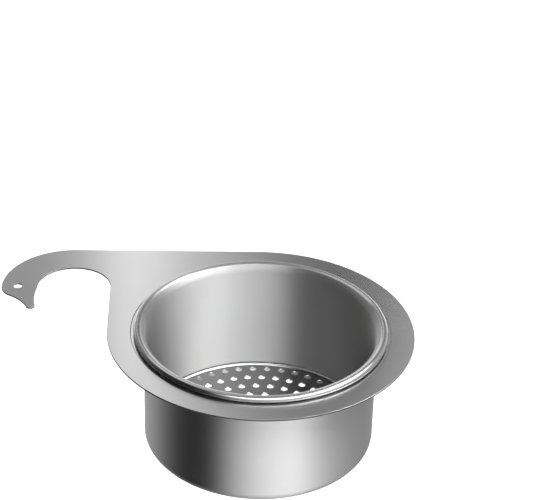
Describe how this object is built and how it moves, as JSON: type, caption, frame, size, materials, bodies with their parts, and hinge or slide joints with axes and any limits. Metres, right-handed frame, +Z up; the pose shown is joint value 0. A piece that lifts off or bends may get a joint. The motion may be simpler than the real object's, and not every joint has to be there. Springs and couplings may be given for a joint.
{
  "type": "hanging sink strainer basket",
  "caption": "Sink strainer: a loose round basket with a punched base hangs by its curled rim in a flat ring plate, whose swan-neck hook goes round the tap.",
  "frame": {"origin": "centre of the tap notch, on the underside of the hanger plate", "axes": "+Z up, +X from the hook towards the basket along the plate's straight back edge, +Y from the notch towards that back edge"},
  "size_m": [0.2046, 0.15, 0.065],
  "materials": {
    "plate_steel": "fine satin stainless sheet with blanked edges",
    "wall_steel": "bright polished stainless sheet, spun with faint turning marks",
    "base_steel": "polished stainless sheet, punched"
  },
  "bodies": {
    "hanger": {"hanger_plate": "plate_steel"},
    "basket": {"basket_wall": "wall_steel", "perforated_base": "base_steel"}
  },
  "joints": [
    {"name": "basket_lift", "type": "slide", "parent": "hanger", "child": "basket", "axis": [0, 0, 1], "range_m": [0, 0.075]}
  ]
}
